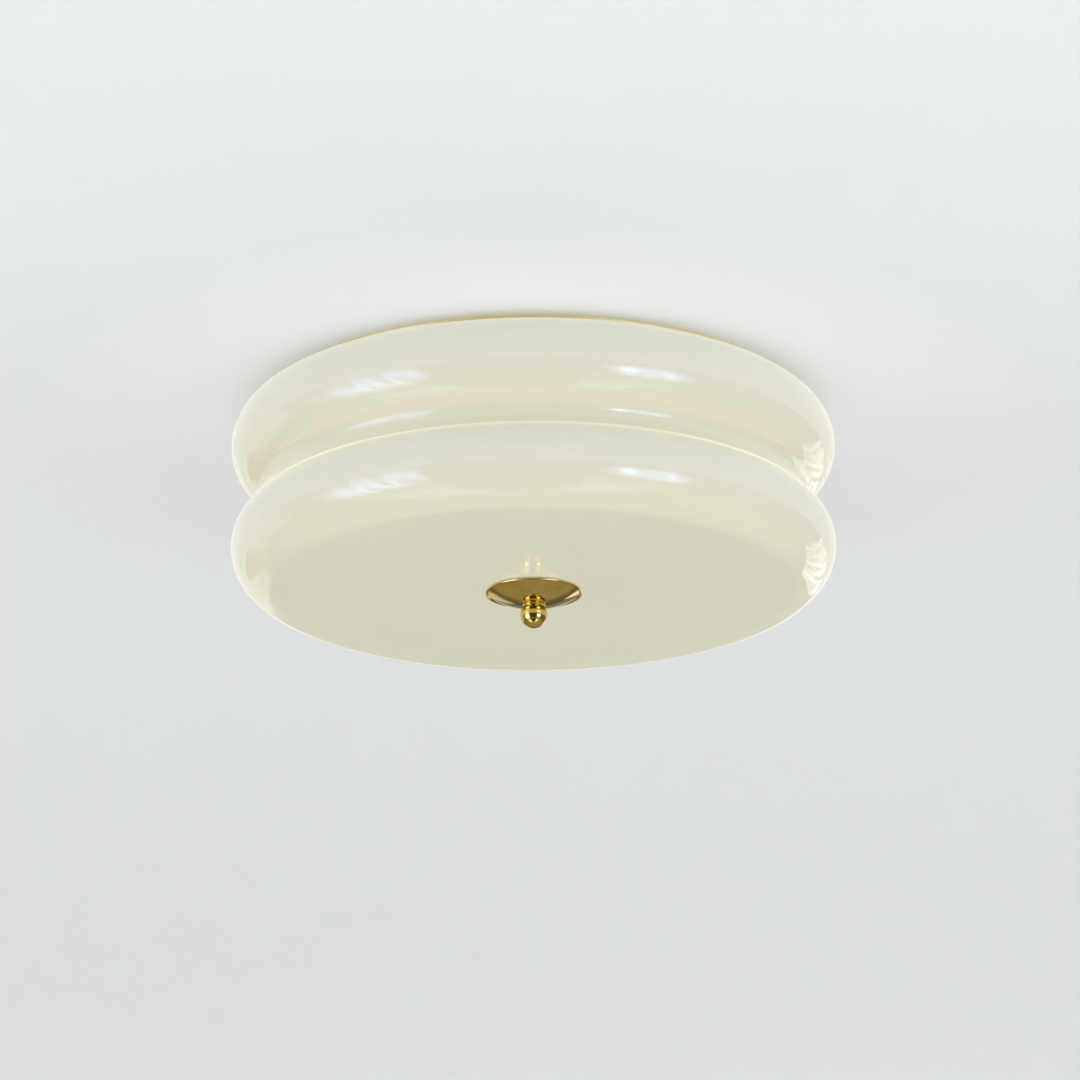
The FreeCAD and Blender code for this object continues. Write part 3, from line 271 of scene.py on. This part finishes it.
def opal_glass():
    """Cased cream opal glass, fire polished; painted skylight makes it paler where it faces up but
    not in the groove, and a painted glow stands in for light through the glass.
    """
    material, tree, shader = new_material("opal_glass")
    vector = object_coordinates(tree)
    clouds = noise(tree, vector, GLASS_CLOUDS, detail=2.0)
    cream = blend_colours(tree, clouds, GLASS_DARK, GLASS_LIGHT)
    # painted skylight: paler cream where the normal faces up, kept off the groove, standing in for
    # light falling from above
    side = tree.nodes.new("ShaderNodeNewGeometry")
    skylit_facing = spread(tree, height_of(tree, side.outputs["Normal"]), 0.0, 1.0, *SKYLIGHT_FACING)
    off_groove = calculate(tree, "ADD", height_of(tree, vector), GROOVE_DEPTH)
    clear = spread(tree, calculate(tree, "ABSOLUTE", off_groove), 0.0, 1.0, *SKYLIGHT_GROOVE_FADE)
    share = calculate(tree, "MULTIPLY", skylit_facing, clear)
    tree.links.new(blend_over(tree, share, cream, GLASS_PAINTED_SKYLIGHT), shader.inputs["Base Color"])
    film = noise(tree, vector, GLASS_FILM, detail=5.0)
    tree.links.new(spread(tree, film, *GLASS_ROUGHNESS), shader.inputs["Roughness"])
    ripple = noise(tree, vector, GLASS_RIPPLE, detail=1.0)
    tree.links.new(bump(tree, ripple, RIPPLE_HEIGHT), shader.inputs["Normal"])
    shader.inputs["IOR"].default_value = GLASS_IOR
    shader.inputs["Subsurface Weight"].default_value = GLASS_SUBSURFACE
    shader.inputs["Subsurface Radius"].default_value = SUBSURFACE_RADIUS
    shader.inputs["Subsurface Scale"].default_value = 1.0
    # painted glow standing in for light passing through the opal glass
    shader.inputs["Emission Color"].default_value = PAINTED_GLOW_COLOUR
    shader.inputs["Emission Strength"].default_value = PAINTED_GLOW_STRENGTH
    return material


def polished_brass():
    """Lacquered mirror brass with faint turning marks."""
    material, tree, shader = new_material("polished_brass")
    clouds = noise(tree, object_coordinates(tree), BRASS_CLOUDS, detail=3.0)
    colour = blend_colours(tree, clouds, BRASS_DARK, BRASS_LIGHT)
    tree.links.new(colour, shader.inputs["Base Color"])
    marks = noise(tree, object_coordinates(tree, MARK_STRETCH), TURNING_MARKS, detail=2.0)
    tree.links.new(spread(tree, marks, *BRASS_ROUGHNESS), shader.inputs["Roughness"])
    tree.links.new(bump(tree, marks, MARK_HEIGHT), shader.inputs["Normal"])
    shader.inputs["Metallic"].default_value = 1.0
    return material


def earth_stripes():
    """Green wire with yellow bands."""
    material, tree, shader = new_material("earth_sleeving")
    vector = object_coordinates(tree)
    band = calculate(tree, "PINGPONG", height_of(tree, vector), EARTH_BAND)
    share = spread(tree, band, 0.0, 1.0, 0.0, EARTH_BAND)
    colour = blend_colours(tree, share, EARTH_GREEN, EARTH_YELLOW, *BAND_SPLIT)
    tree.links.new(colour, shader.inputs["Base Color"])
    fine = noise(tree, vector, EARTH_GRAIN)
    tree.links.new(spread(tree, fine, *EARTH_ROUGHNESS), shader.inputs["Roughness"])
    return material


def make_finishes():
    """One material to each slot of the record."""
    finishes = {"opal_glass": opal_glass(), "polished_brass": polished_brass()}
    for slot, (dark, light, rough, settings) in FINISHES.items():
        finishes[slot] = surface(slot, dark, light, rough, **settings)
    finishes["earth_sleeving"] = earth_stripes()
    return finishes


# ---------------------------------------------------------------- turned pieces
SAME_POINT = 0.005
ON_AXIS = 0.001
SHARP_EDGE = math.radians(38)


def arc(centre_r, centre_z, radius, start, end, step=1.5):
    """Points of an arc in (radius, height); angles and step in degrees, 0 pointing outward."""
    count = max(2, round(abs(end - start) / step))
    points = []
    for i in range(count + 1):
        angle = math.radians(start + (end - start) * i / count)
        points.append((centre_r + radius * math.cos(angle), centre_z + radius * math.sin(angle)))
    return points


def run(start, end, step):
    """Points of a straight stretch, ends included, about a step in millimetres apart."""
    (r, z), (end_r, end_z) = start, end
    count = max(1, round(math.hypot(end_r - r, end_z - z) / step))
    return [(r + (end_r - r) * i / count, z + (end_z - z) * i / count) for i in range(count + 1)]


def add_object(name, vertices, faces, finish):
    """Object of a new mesh with one material."""
    mesh = bpy.data.meshes.new(name)
    mesh.from_pydata(vertices, [], faces)
    mesh.update()
    item = bpy.data.objects.new(name, mesh)
    scene.collection.objects.link(item)
    mesh.materials.append(finish)
    return item


def turned_rings(profile, segments):
    """Vertices in metres of a closed profile turned about Z, and each ring's vertex numbers."""
    clean = []
    for point in profile:
        if not clean or math.dist(point, clean[-1]) > SAME_POINT:
            clean.append(point)
    if math.dist(clean[0], clean[-1]) < SAME_POINT:
        clean.pop()
    vertices, rings = [], []
    for radius, height in clean:
        first = len(vertices)
        if radius < ON_AXIS:
            rings.append([first])
            vertices.append((0, 0, height * MM))
            continue
        for i in range(segments):
            angle = math.tau * i / segments
            x, y = radius * math.cos(angle) * MM, radius * math.sin(angle) * MM
            vertices.append((x, y, height * MM))
        rings.append(list(range(first, first + segments)))
    return vertices, rings


def turn_profile(name, profile, segments, finish, body, replaced):
    """Turn a closed profile of (radius, height) in millimetres into a smooth mesh on a body."""
    vertices, rings = turned_rings(profile, segments)
    faces = []
    for lower, upper in zip(rings, rings[1:] + rings[:1]):
        if len(lower) == 1 and len(upper) == 1:
            continue
        for i in range(segments):
            j = (i + 1) % segments
            if len(lower) == 1:
                faces.append((lower[0], upper[j], upper[i]))
            elif len(upper) == 1:
                faces.append((lower[i], lower[j], upper[0]))
            else:
                faces.append((lower[i], lower[j], upper[j], upper[i]))
    piece = add_object(name, vertices, faces, finish)
    for polygon in piece.data.polygons:
        polygon.use_smooth = True
    piece.data.set_sharp_from_angle(angle=SHARP_EDGE)
    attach(piece, body)
    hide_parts(*replaced)


# ---------------------------------------------------------------- the shade
SHADE_RADIUS = 200.0
TOP_ROUND = 31.0
TIER_ROUND = 29.0
GROOVE_ROUND = 10.0
GLASS_WALL = 3.5
MOUTH_RADIUS = 158.0
MOUTH_EDGE = 1.2
SHADE_HOLE = 7.5
HOLE_EDGE = 1.0
GLASS_TOP = -4.0
UPPER_TIER = GLASS_TOP - TOP_ROUND
TIER_PITCH = 69.5
LOWER_TIER = UPPER_TIER - TIER_PITCH
GLASS_BOTTOM = LOWER_TIER - TIER_ROUND
EDGE_STEP = 30
INNER_STEP = 4
SHADE_SEGMENTS = 360


def make_shade(finish):
    """Blown shade: two round tiers, the groove between them and the flat floor."""
    tier_centre = SHADE_RADIUS - TIER_ROUND
    top_centre = SHADE_RADIUS - TOP_ROUND
    reach = TIER_ROUND + GROOVE_ROUND
    groove_centre = tier_centre + math.sqrt(reach ** 2 - (TIER_PITCH / 2) ** 2)
    groove_level = (UPPER_TIER + LOWER_TIER) / 2
    meeting = math.degrees(math.atan2(TIER_PITCH / 2, groove_centre - tier_centre))
    wall = GLASS_WALL
    floor_top = GLASS_BOTTOM + wall
    hole_land = SHADE_HOLE + HOLE_EDGE
    mouth_land = MOUTH_RADIUS + MOUTH_EDGE
    # outside, from the mouth down to the hole
    profile = run((mouth_land, GLASS_TOP), (top_centre, GLASS_TOP), 3)
    profile += arc(top_centre, UPPER_TIER, TOP_ROUND, 90, 0)
    profile += arc(tier_centre, UPPER_TIER, TIER_ROUND, 0, -meeting)
    profile += arc(groove_centre, groove_level, GROOVE_ROUND, 180 - meeting, 180 + meeting, 3)
    profile += arc(tier_centre, LOWER_TIER, TIER_ROUND, meeting, -90)
    profile += run((tier_centre, GLASS_BOTTOM), (hole_land, GLASS_BOTTOM), 6)
    profile += arc(hole_land, GLASS_BOTTOM + HOLE_EDGE, HOLE_EDGE, -90, -180, EDGE_STEP)
    # inside, from the hole up to the mouth
    profile += run((SHADE_HOLE, floor_top), (tier_centre, floor_top), 12)
    profile += arc(tier_centre, LOWER_TIER, TIER_ROUND - wall, -90, meeting, INNER_STEP)
    profile += arc(groove_centre, groove_level, GROOVE_ROUND + wall,
                   180 + meeting, 180 - meeting, 6)
    profile += arc(tier_centre, UPPER_TIER, TIER_ROUND - wall, -meeting, 0, INNER_STEP)
    profile += arc(top_centre, UPPER_TIER, TOP_ROUND - wall, 0, 90, INNER_STEP)
    profile += [(mouth_land, GLASS_TOP - wall)]
    profile += arc(mouth_land, GLASS_TOP - wall + MOUTH_EDGE, MOUTH_EDGE, 270, 180, EDGE_STEP)
    profile += arc(mouth_land, GLASS_TOP - MOUTH_EDGE, MOUTH_EDGE, 180, 90, EDGE_STEP)
    turn_profile("shade_glass", profile, SHADE_SEGMENTS, finish, "shade",
                 ["glass_shade"])


# ---------------------------------------------------------------- cap and ball nut
CAP_RIM = GLASS_BOTTOM - 0.5
CAP_RADIUS = 32.0
CAP_RISE = 10.0
CAP_SHEET = 1.2
CAP_HOLE = 5.2
CAP_HOLE_EDGE = 0.2
CAP_BEAD = 0.9
SEAT_RADIUS = 7.8
CAP_SPHERE = (CAP_RADIUS ** 2 + CAP_RISE ** 2) / (2 * CAP_RISE)
CAP_CENTRE = CAP_RIM - CAP_RISE + CAP_SPHERE
CAP_SEAT = CAP_CENTRE - math.sqrt(CAP_SPHERE ** 2 - SEAT_RADIUS ** 2)
CAP_SEGMENTS = 192
COLLAR_RADIUS = 7.6
COLLAR_CHAMFER = 0.15
COLLAR_EDGE = 0.4
NECK_RADIUS = 7.45
NECK_HEIGHT = 1.15
BALL_RADIUS = 9.1
NUT_BORE = 5.05
BORE_DEPTH = 9.0
NUT_SEGMENTS = 128


def make_cap(finish):
    """Spun brass cap with a rolled bead on its rim."""
    inner = CAP_SPHERE - CAP_SHEET
    bead_centre = CAP_RADIUS - CAP_BEAD
    bead_level = CAP_RIM - CAP_BEAD
    bead_drop = CAP_CENTRE - bead_level
    away = math.hypot(bead_centre, bead_drop)
    # the crease is where the dish's sphere meets the bead's circle
    along = (CAP_SPHERE ** 2 + away ** 2 - CAP_BEAD ** 2) / (2 * away)
    across = math.sqrt(CAP_SPHERE ** 2 - along ** 2)
    crease = (along * bead_centre - across * bead_drop) / away
    crease_level = CAP_CENTRE - (along * bead_drop + across * bead_centre) / away
    crease_angle = math.degrees(math.acos(crease / CAP_SPHERE))
    bead_angle = math.degrees(math.atan2(crease_level - bead_level, crease - bead_centre))
    seat_angle = math.degrees(math.acos(SEAT_RADIUS / CAP_SPHERE))
    rim_inner = math.sqrt(inner ** 2 - (CAP_RIM - CAP_CENTRE) ** 2)
    rim_inner_angle = math.degrees(math.acos(rim_inner / inner))
    seat_inner = CAP_SEAT + CAP_SHEET
    flat_inner = math.sqrt(inner ** 2 - (seat_inner - CAP_CENTRE) ** 2)
    flat_inner_angle = math.degrees(math.acos(flat_inner / inner))
    hole_land = CAP_HOLE + CAP_HOLE_EDGE
    profile = [(CAP_HOLE, seat_inner), (CAP_HOLE, CAP_SEAT + CAP_HOLE_EDGE)]
    profile += run((hole_land, CAP_SEAT), (SEAT_RADIUS, CAP_SEAT), 1)
    profile += arc(0, CAP_CENTRE, CAP_SPHERE, -seat_angle, -crease_angle, 0.6)
    profile += arc(bead_centre, bead_level, CAP_BEAD, bead_angle, 90, 12)
    profile += [(rim_inner, CAP_RIM)]
    profile += arc(0, CAP_CENTRE, inner, -rim_inner_angle, -flat_inner_angle, 1.2)
    turn_profile("brass_cap", profile, CAP_SEGMENTS, finish, "finial_cap",
                 ["finial_cap"])


def make_ball(finish):
    """Turned ball nut: collar, neck and ball with a blind bore."""
    neck_end = CAP_SEAT - NECK_HEIGHT
    centre = neck_end - math.sqrt(BALL_RADIUS ** 2 - NECK_RADIUS ** 2)
    neck_angle = math.degrees(math.asin((neck_end - centre) / BALL_RADIUS))
    bore_end = CAP_SEAT - BORE_DEPTH
    collar_low = CAP_SEAT - COLLAR_EDGE
    profile = run((NUT_BORE, CAP_SEAT), (COLLAR_RADIUS - COLLAR_CHAMFER, CAP_SEAT), 0.8)
    profile += [(COLLAR_RADIUS, CAP_SEAT - COLLAR_CHAMFER)]
    profile += run((COLLAR_RADIUS, collar_low), (NECK_RADIUS, neck_end), 0.3)
    profile += arc(0, centre, BALL_RADIUS, neck_angle, -90, 2)
    profile += [(0, bore_end), (NUT_BORE, bore_end)]
    turn_profile("ball_nut", profile, NUT_SEGMENTS, finish, "finial_nut",
                 ["finial_nut"])


# ---------------------------------------------------------------- stage
CEILING_LEVEL = 0.0
CEILING_HALF = 9.0
CEILING_SEGMENTS = 256
CEILING_COLOUR = (0.80, 0.81, 0.815)
CEILING_ROUGHNESS = 0.9
# painted pool of light on the ceiling round the shade: paler paint and a faint glow that lift the
# shade by the rim
CEILING_PAINTED_LIGHT = (0.87, 0.885, 0.89)
PAN_OPENING = 0.1685
PAINTED_LIGHT_REACH = (0.18, 0.34)
PAINTED_GLOW_RAMP = (0.03, 0.0)
PAINTED_GLOW_REACH = (0.17, 0.27)
FLOOR_LEVEL = -2.6
FLOOR_COLOUR = (0.78, 0.77, 0.74)
FLOOR_ROUGHNESS = 0.8
FLOOR_LIFT = 0.05
LIFT_COLOUR = (1.0, 0.98, 0.94, 1)
PAINT_PATCHES = 0.8
PATCH_LIGHTER = 1.01

CARD_FINISHES = {
    # dark cloth that the gloss mirrors as painted shade
    "shade_sheet_cloth": ((0.05, 0.045, 0.035), (0.09, 0.08, 0.06), (0.8, 0.95), {"scale": 6.0}),
    "door_wood": ((0.30, 0.26, 0.10), (0.36, 0.31, 0.14), (0.6, 0.8), {"scale": 5.0}),
    "rug_wool": ((0.34, 0.32, 0.24), (0.42, 0.40, 0.31), (0.85, 0.95), {"scale": 3.0}),
    "lit_floor": ((0.74, 0.80, 0.90), (0.80, 0.86, 0.95), (0.7, 0.9),
                  {"scale": 3.0, "Emission Color": (0.55, 0.75, 1.0, 1), "Emission Strength": 1.0}),
}
RUG_LEVELS = (-2.5, -2.5)
SHADE_SHEET_SPAN = (-40.0, 24.0)
UPRIGHT_GRID = (8, 12)
FLOOR_GRID = (4, 24)
# name: finish, then from first to last row or column the azimuths, distances and heights, grid
CARDS = {
    # dark sheets of painted shade, one upright in front and one on the floor
    "dark_shade_sheet": ("shade_sheet_cloth", SHADE_SHEET_SPAN, (1.5, 1.5), (-0.12, -1.45), UPRIGHT_GRID),
    "door": ("door_wood", (-157.0, -139.0), (3.0, 3.0), (-0.45, -1.35), UPRIGHT_GRID),
    "rug": ("rug_wool", (62.0, 276.0), (0.02, 8.5), RUG_LEVELS, FLOOR_GRID),
    "shadow": ("shade_sheet_cloth", SHADE_SHEET_SPAN, (0.35, 2.4), RUG_LEVELS, FLOOR_GRID),
    "pool_left": ("lit_floor", (-80.0, -46.0), (0.6, 1.9), RUG_LEVELS, FLOOR_GRID),
    "pool_right": ("lit_floor", (28.0, 56.0), (0.6, 1.9), RUG_LEVELS, FLOOR_GRID),
}


def one_sided(name, colour, rough, lift=0.0, painted_light=None):
    """Matt paint on a sheet's front only, with an optional painted pool of light: paler paint and a
    faint glow round the shade.
    """
    material, tree, shader = new_material(name)
    shader.inputs["Emission Color"].default_value = LIFT_COLOUR
    shader.inputs["Emission Strength"].default_value = lift
    shader.inputs["Roughness"].default_value = rough
    vector = object_coordinates(tree)
    patches = noise(tree, vector, PAINT_PATCHES, detail=2.0)
    light = tuple(min(1.0, part * PATCH_LIGHTER) for part in colour)
    paint = blend_colours(tree, patches, colour, light)
    # painted light round the shade: paler paint and a faint glow on the ceiling near the rim
    if painted_light:
        away = length_of(tree, vector)
        paint = blend_over(tree, spread(tree, away, 1.0, 0.0, *PAINTED_LIGHT_REACH), paint, painted_light)
        glow = spread(tree, away, *PAINTED_GLOW_RAMP, *PAINTED_GLOW_REACH)
        tree.links.new(glow, shader.inputs["Emission Strength"])
    tree.links.new(paint, shader.inputs["Base Color"])
    clear = tree.nodes.new("ShaderNodeBsdfTransparent")
    side = tree.nodes.new("ShaderNodeNewGeometry")
    mix = tree.nodes.new("ShaderNodeMixShader")
    tree.links.new(side.outputs["Backfacing"], mix.inputs["Fac"])
    tree.links.new(shader.outputs["BSDF"], mix.inputs[1])
    tree.links.new(clear.outputs["BSDF"], mix.inputs[2])
    output = first_of_type(tree, "OUTPUT_MATERIAL")
    tree.links.new(mix.outputs["Shader"], output.inputs["Surface"])
    return material


def make_stage():
    """Pale ceiling with a hole for the pan and painted light round it, seen from below, and pale
    floor, seen from above.
    """
    vertices, faces = [], []
    for i in range(CEILING_SEGMENTS):
        angle = math.tau * i / CEILING_SEGMENTS
        x, y = math.cos(angle), math.sin(angle)
        stretch = CEILING_HALF / max(abs(x), abs(y))
        vertices.append((x * PAN_OPENING, y * PAN_OPENING, CEILING_LEVEL))
        vertices.append((x * stretch, y * stretch, CEILING_LEVEL))
        j = (i + 1) % CEILING_SEGMENTS
        faces.append((2 * i, 2 * j, 2 * j + 1, 2 * i + 1))
    paint = one_sided("ceiling_paint", CEILING_COLOUR, CEILING_ROUGHNESS, painted_light=CEILING_PAINTED_LIGHT)
    add_object("ceiling", vertices, faces, paint)
    half = CEILING_HALF
    corners = [(-half, -half, FLOOR_LEVEL), (half, -half, FLOOR_LEVEL),
               (half, half, FLOOR_LEVEL), (-half, half, FLOOR_LEVEL)]
    paint = one_sided("floor_paint", FLOOR_COLOUR, FLOOR_ROUGHNESS, lift=FLOOR_LIFT)
    add_object("floor", corners, [(0, 1, 2, 3)], paint)


def part_way(ends, i, count):
    """Value at step i of count on the way between two ends."""
    return ends[0] + (ends[1] - ends[0]) * i / count


def add_card(name, finish, azimuths, distances, heights, grid):
    """Curved sheet round the light's axis that only reflections see."""
    rows, columns = grid
    vertices, faces = [], []
    for i in range(rows + 1):
        away, height = part_way(distances, i, rows), part_way(heights, i, rows)
        for j in range(columns + 1):
            azimuth = math.radians(part_way(azimuths, j, columns))
            vertices.append((away * math.sin(azimuth), -away * math.cos(azimuth), height))
    for i in range(rows):
        for j in range(columns):
            first = i * (columns + 1) + j
            faces.append((first, first + 1, first + columns + 2, first + columns + 1))
    card = add_object(name, vertices, faces, finish)
    card.visible_camera = False
    card.visible_diffuse = False
    card.visible_transmission = False
    card.visible_shadow = False


def hang_cards():
    """What the gloss mirrors: painted shade as dark sheets between the windows and on the floor in
    front, a door behind, the floor's tones.
    """
    cloths = {name: surface(name, dark, light, rough, **settings)
              for name, (dark, light, rough, settings) in CARD_FINISHES.items()}
    for name, (cloth, *shape) in CARDS.items():
        add_card(name, cloths[cloth], *shape)


# ---------------------------------------------------------------- light
WATTS_PER_RADIANCE = math.pi
WORLD_COLOUR = (0.94, 0.96, 1.0, 1)
WORLD_STRENGTH = 0.25
FOLD_STRETCH = 0.12
FOLD_NOISE = (0.36, 0.64)
FOLD_STRENGTH = (0.35, 1.65)
FADE_REACH = (0.45, 1.0)
# name: azimuth, elevation, distance, width and height, radiance, colour, curtain folds, faded edges
GLEAMS = {
    "window_left": (-60, -22, 2.4, (2.5, 2.2), 4.6, (0.40, 0.58, 1.0), 14, True),
    "window_right": (44, -19, 2.4, (1.7, 1.3), 6.2, (0.44, 0.58, 1.0), 5, True),
    "window_slit": (34, -16, 2.4, (0.6, 0.5), 3.0, (0.6, 0.7, 1.0), 3, True),
    "window_back": (150, -11, 3.4, (1.7, 1.3), 1.1, (0.92, 0.96, 1.0), 10, False),
    "wall_left": (-138, -12, 3.6, (4.4, 1.5), 0.5, (1.0, 0.98, 0.88), 0, False),
}
FILLS = {
    "fill_front": (0, -36, 2.8, (6, 1.8), 1.55, (0.97, 0.98, 1.0)),
    "fill_left": (-85, -12, 3.6, (4, 2.0), 1.45, (0.97, 0.98, 1.0)),
    "fill_right": (85, -12, 3.6, (4, 2.0), 1.85, (0.95, 0.97, 1.0)),
    "fill_back": (180, -14, 4.0, (6, 2.0), 1.5, (0.97, 0.98, 1.0)),
}


def hang_curtain(data, folds, faded):
    """Vertical curtain folds over a window light, faded towards its edges where asked."""
    data.use_nodes = True
    tree = data.node_tree
    place = tree.nodes.new("ShaderNodeNewGeometry").outputs["Parametric"]
    value = noise(tree, mapped(tree, place, (folds, folds * FOLD_STRETCH, 1)), 1.0,
                  detail=2.0, rough=0.5)
    strength = spread(tree, value, *FOLD_STRENGTH, *FOLD_NOISE)
    if faded:
        away = length_of(tree, mapped(tree, place, (2, 2, 1), (-1, -1, 0)))
        mask = spread(tree, away, 1.0, 0.0, *FADE_REACH)
        strength = calculate(tree, "MULTIPLY", strength, mask)
    emission = first_of_type(tree, "EMISSION")
    tree.links.new(strength, emission.inputs["Strength"])


def area_light(name, gleam, azimuth, elevation, distance, size, radiance, colour,
               folds=0, faded=False):
    """Soft light in a direction from the shade; azimuth 0 is the camera's side, positive right.

    A gleam shows only in reflections, a fill only in diffuse light. With folds it hangs upright.
    """
    a, e = math.radians(azimuth), math.radians(elevation)
    away = Vector((math.sin(a) * math.cos(e), -math.cos(a) * math.cos(e), math.sin(e)))
    data = bpy.data.lights.new(name, "AREA")
    data.shape = "RECTANGLE"
    data.size, data.size_y = size
    data.energy = radiance * WATTS_PER_RADIANCE * size[0] * size[1]
    data.color = colour
    light = bpy.data.objects.new(name, data)
    scene.collection.objects.link(light)
    light.location = TARGET + away * distance
    level = Vector((away.x, away.y, 0)).normalized() if folds else away
    light.rotation_euler = level.to_track_quat("Z", "Y").to_euler()
    light.visible_camera = False
    light.visible_glossy = gleam
    light.visible_diffuse = not gleam
    light.visible_transmission = not gleam
    if folds:
        hang_curtain(data, folds, faded)


def make_light():
    """Pale world, curtained windows in front and behind, a wall on the left, soft fills."""
    world = bpy.data.worlds.new("room")
    scene.world = world
    world.use_nodes = True
    background = world.node_tree.nodes["Background"]
    background.inputs["Color"].default_value = WORLD_COLOUR
    background.inputs["Strength"].default_value = WORLD_STRENGTH
    for name, values in GLEAMS.items():
        area_light(name, True, *values)
    for name, values in FILLS.items():
        area_light(name, False, *values)


def main():
    """Dress the light and set the stage."""
    scene.view_settings.view_transform = "Standard"
    make_camera()
    finishes = make_finishes()
    slot_of = {entry["node"]: entry["material_slot"] for entry in frame["record"]["subparts"]}
    for name, node in frame["nodes"].items():
        for slot in node.material_slots:
            slot.material = finishes[slot_of[name]]
    make_shade(finishes["opal_glass"])
    make_cap(finishes["polished_brass"])
    make_ball(finishes["polished_brass"])
    make_stage()
    hang_cards()
    make_light()


main()
